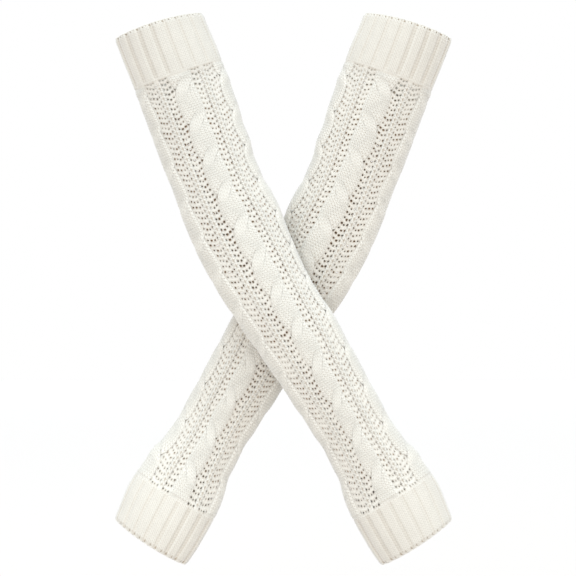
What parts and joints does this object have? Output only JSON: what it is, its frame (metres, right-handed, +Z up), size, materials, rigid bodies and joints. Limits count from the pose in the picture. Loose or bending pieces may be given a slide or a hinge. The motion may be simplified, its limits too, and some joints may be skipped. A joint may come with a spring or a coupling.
{
  "type": "cable-knit arm warmers",
  "caption": "Pair of long cream hand-knitted arm warmers with rope cables, open lace columns and ribbed cuffs, filled out hollow and crossed in an X.",
  "frame": {"origin": "between the two warmers where they cross, on the line from front to back through both tubes", "axes": "+Z up along the pair as it hangs, elbow ends up and wrist ends down; +X to the right seen from the front; the front faces -Y"},
  "size_m": [0.2566, 0.081, 0.4196],
  "materials": {
    "front_elbow_cuff_yarn": "matt woollen knit",
    "front_cabled_sleeve_yarn": "matt woollen knit",
    "front_wrist_cuff_yarn": "matt woollen knit",
    "back_elbow_cuff_yarn": "matt woollen knit",
    "back_cabled_sleeve_yarn": "matt woollen knit",
    "back_wrist_cuff_yarn": "matt woollen knit"
  },
  "bodies": {
    "root": {"front_elbow_cuff": "front_elbow_cuff_yarn", "front_cabled_sleeve": "front_cabled_sleeve_yarn", "front_wrist_cuff": "front_wrist_cuff_yarn", "back_elbow_cuff": "back_elbow_cuff_yarn", "back_cabled_sleeve": "back_cabled_sleeve_yarn", "back_wrist_cuff": "back_wrist_cuff_yarn"}
  },
  "joints": []
}
